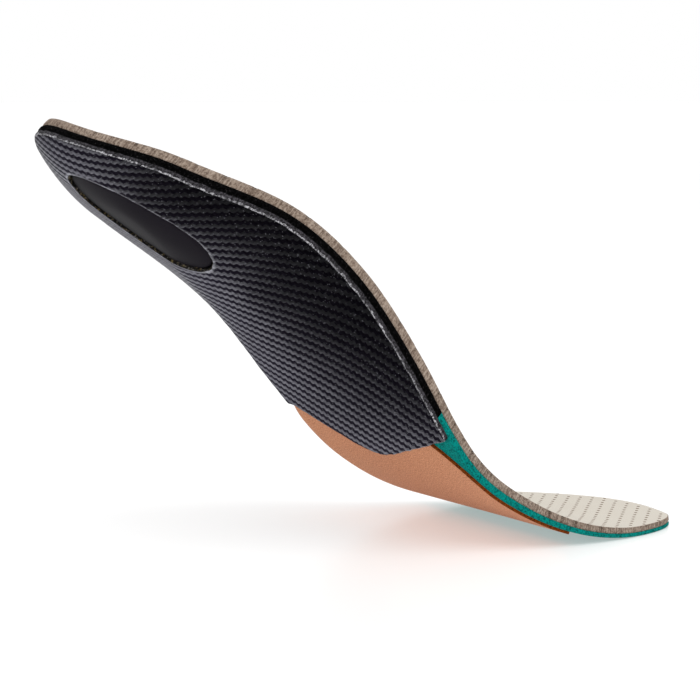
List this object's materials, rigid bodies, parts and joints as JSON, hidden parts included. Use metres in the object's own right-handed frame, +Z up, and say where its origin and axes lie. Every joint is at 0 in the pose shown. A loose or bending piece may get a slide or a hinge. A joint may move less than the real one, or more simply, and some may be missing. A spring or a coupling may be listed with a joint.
{
  "type": "foot orthosis insole",
  "caption": "Full-length layered foot orthosis insole with a rigid arch shell, heel window and pad, forefoot cushion and lining, flexing at the ball of the foot.",
  "frame": {"origin": "on the floor, under the flat middle of the toe part", "axes": "+X to the inner (medial) side of the foot, +Y from heel to toe, +Z up from the floor"},
  "size_m": [0.0903, 0.2173, 0.1424],
  "materials": {
    "cover_fabric": "perforated textile",
    "cover_foam": "cut open-cell foam",
    "black_foam": "cut closed-cell foam",
    "teal_foam": "cut closed-cell foam",
    "carbon": "satin carbon-fibre laminate",
    "pad_rubber": "smooth satin",
    "lining_leather": "fine matte grain"
  },
  "bodies": {
    "toe": {"cover_fabric_toe": "cover_fabric", "cover_foam_toe": "cover_foam", "forefoot_cushion_toe": "teal_foam"},
    "ball": {"cover_fabric_ball": "cover_fabric", "cover_foam_ball": "cover_foam", "forefoot_cushion_ball": "teal_foam", "lining_ball": "lining_leather"},
    "rearfoot": {"cover_fabric_rear": "cover_fabric", "cover_foam_rear": "cover_foam", "heel_cushion": "black_foam", "forefoot_cushion_rear": "teal_foam", "shell": "carbon", "heel_pad": "pad_rubber", "lining_rear": "lining_leather"}
  },
  "joints": [
    {"name": "toe_flex", "type": "hinge", "parent": "toe", "child": "ball", "pos_m": [-0.00988, -0.03577, 0.00191], "axis": [0.9563, 0.2924, 0], "range_deg": [0, 22.3]},
    {"name": "ball_flex", "type": "hinge", "parent": "ball", "child": "rearfoot", "pos_m": [0.00141, -0.07271, 0.01773], "axis": [0.9563, 0.2924, 0], "range_deg": [0, 22.3]}
  ],
  "couplings": [
    {"joint": "ball_flex", "follows": "toe_flex", "ratio": 1}
  ]
}
